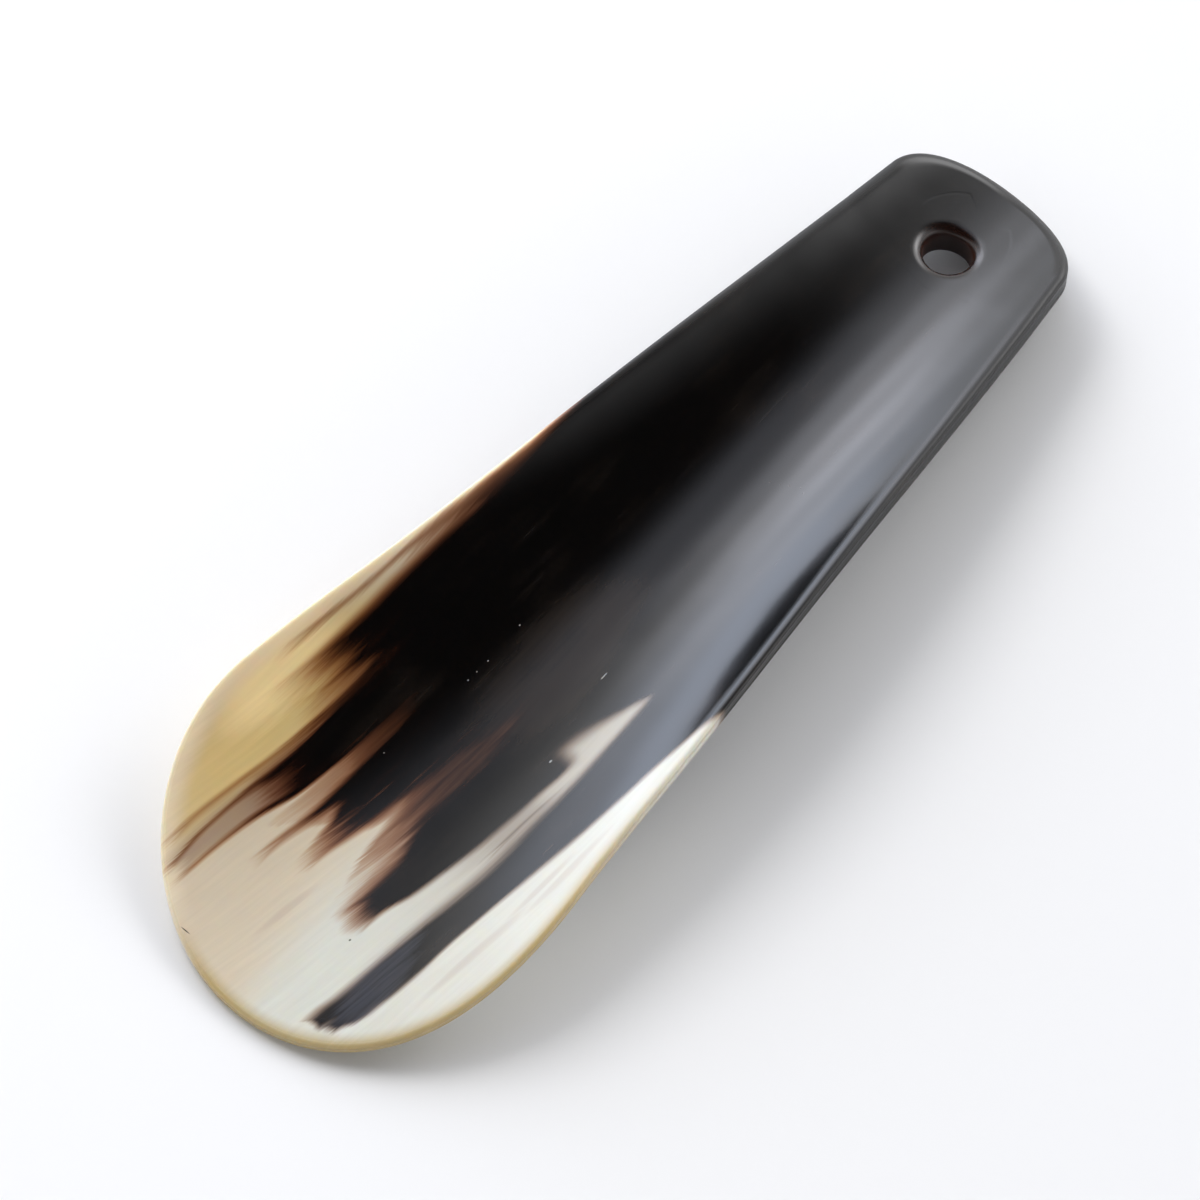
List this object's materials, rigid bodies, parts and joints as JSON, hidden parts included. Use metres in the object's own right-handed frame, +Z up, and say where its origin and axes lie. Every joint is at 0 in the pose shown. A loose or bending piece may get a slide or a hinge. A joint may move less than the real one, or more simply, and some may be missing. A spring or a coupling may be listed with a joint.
{
  "type": "shoehorn",
  "caption": "One-piece polished horn shoehorn, a tapering trough with a broad rounded blade, a narrower handle and a hanging hole near the handle's end.",
  "frame": {"origin": "under the middle of the part's box, on the surface that its back rests on", "axes": "+X from the blade's tip to the handle's end, +Y across the trough, +Z up out of the open trough"},
  "size_m": [0.14, 0.0482, 0.0135],
  "materials": {
    "horn": null
  },
  "bodies": {
    "root": {"shoehorn_body": "horn"}
  },
  "joints": []
}
